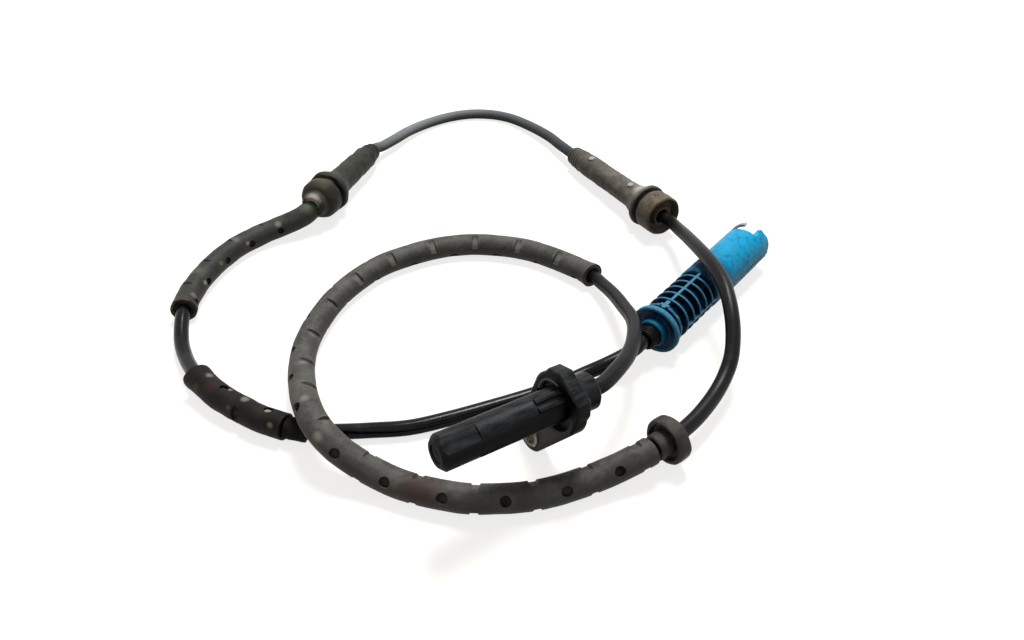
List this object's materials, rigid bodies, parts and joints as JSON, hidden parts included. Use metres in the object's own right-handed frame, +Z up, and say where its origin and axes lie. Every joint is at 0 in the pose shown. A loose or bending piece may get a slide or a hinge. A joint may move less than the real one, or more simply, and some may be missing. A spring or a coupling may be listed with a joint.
{
  "type": "wheel speed sensor with lead",
  "caption": "Wheel speed sensor with a bolt-on head, a long lead through perforated rubber sleeves and grommets, and a finned blue plug, lying loosely looped.",
  "frame": {"origin": "on the surface the part lies on, below the middle of the sensor head", "axes": "+X from the sensor's nose towards its lead, +Y across the head towards the loop of lead, +Z up"},
  "size_m": [0.2227, 0.2593, 0.039],
  "materials": {
    "head_plastic": "worn satin, fine moulded grain",
    "bush_steel": "plated, dull",
    "chip_black": "moulded epoxy",
    "magnet_grey": "ground magnet",
    "carrier_plastic": "moulded",
    "tinned_copper": "tinned",
    "crimp_brass": "pressed",
    "core_blue": "core insulation",
    "core_black": "core insulation",
    "lead_rubber": "worn satin jacket",
    "sleeve_rubber": "dusty, matt",
    "stained_rubber": "stained, matt",
    "grommet_rubber": "dusty, matt",
    "left_rubber": "dusty, matt",
    "plug_blue": "worn satin",
    "boot_rubber": "satin, ribbed",
    "insert_plastic": "moulded",
    "seal_rubber": "soft seal"
  },
  "bodies": {
    "root": {"sensor_housing": "head_plastic", "bolt_bush": "bush_steel", "chip_carrier": "carrier_plastic", "sensor_chip": "chip_black", "bias_magnet": "magnet_grey", "lead_strip_a": "tinned_copper", "lead_strip_b": "tinned_copper", "wire_crimp_a": "crimp_brass", "wire_crimp_b": "crimp_brass", "head_core_a": "core_blue", "head_core_b": "core_black", "lead_cable": "lead_rubber", "long_sleeve": "sleeve_rubber", "left_sleeve": "sleeve_rubber", "low_sleeve": "sleeve_rubber", "inner_sleeve": "stained_rubber", "clip_grommet": "grommet_rubber", "right_grommet": "grommet_rubber", "left_grommet": "left_rubber", "plug_shell": "plug_blue", "plug_boot": "boot_rubber", "wire_seal": "seal_rubber", "contact_insert": "insert_plastic", "plug_core_a": "core_blue", "plug_core_b": "core_black", "contact_blade_a": "tinned_copper", "contact_blade_b": "tinned_copper"}
  },
  "joints": []
}
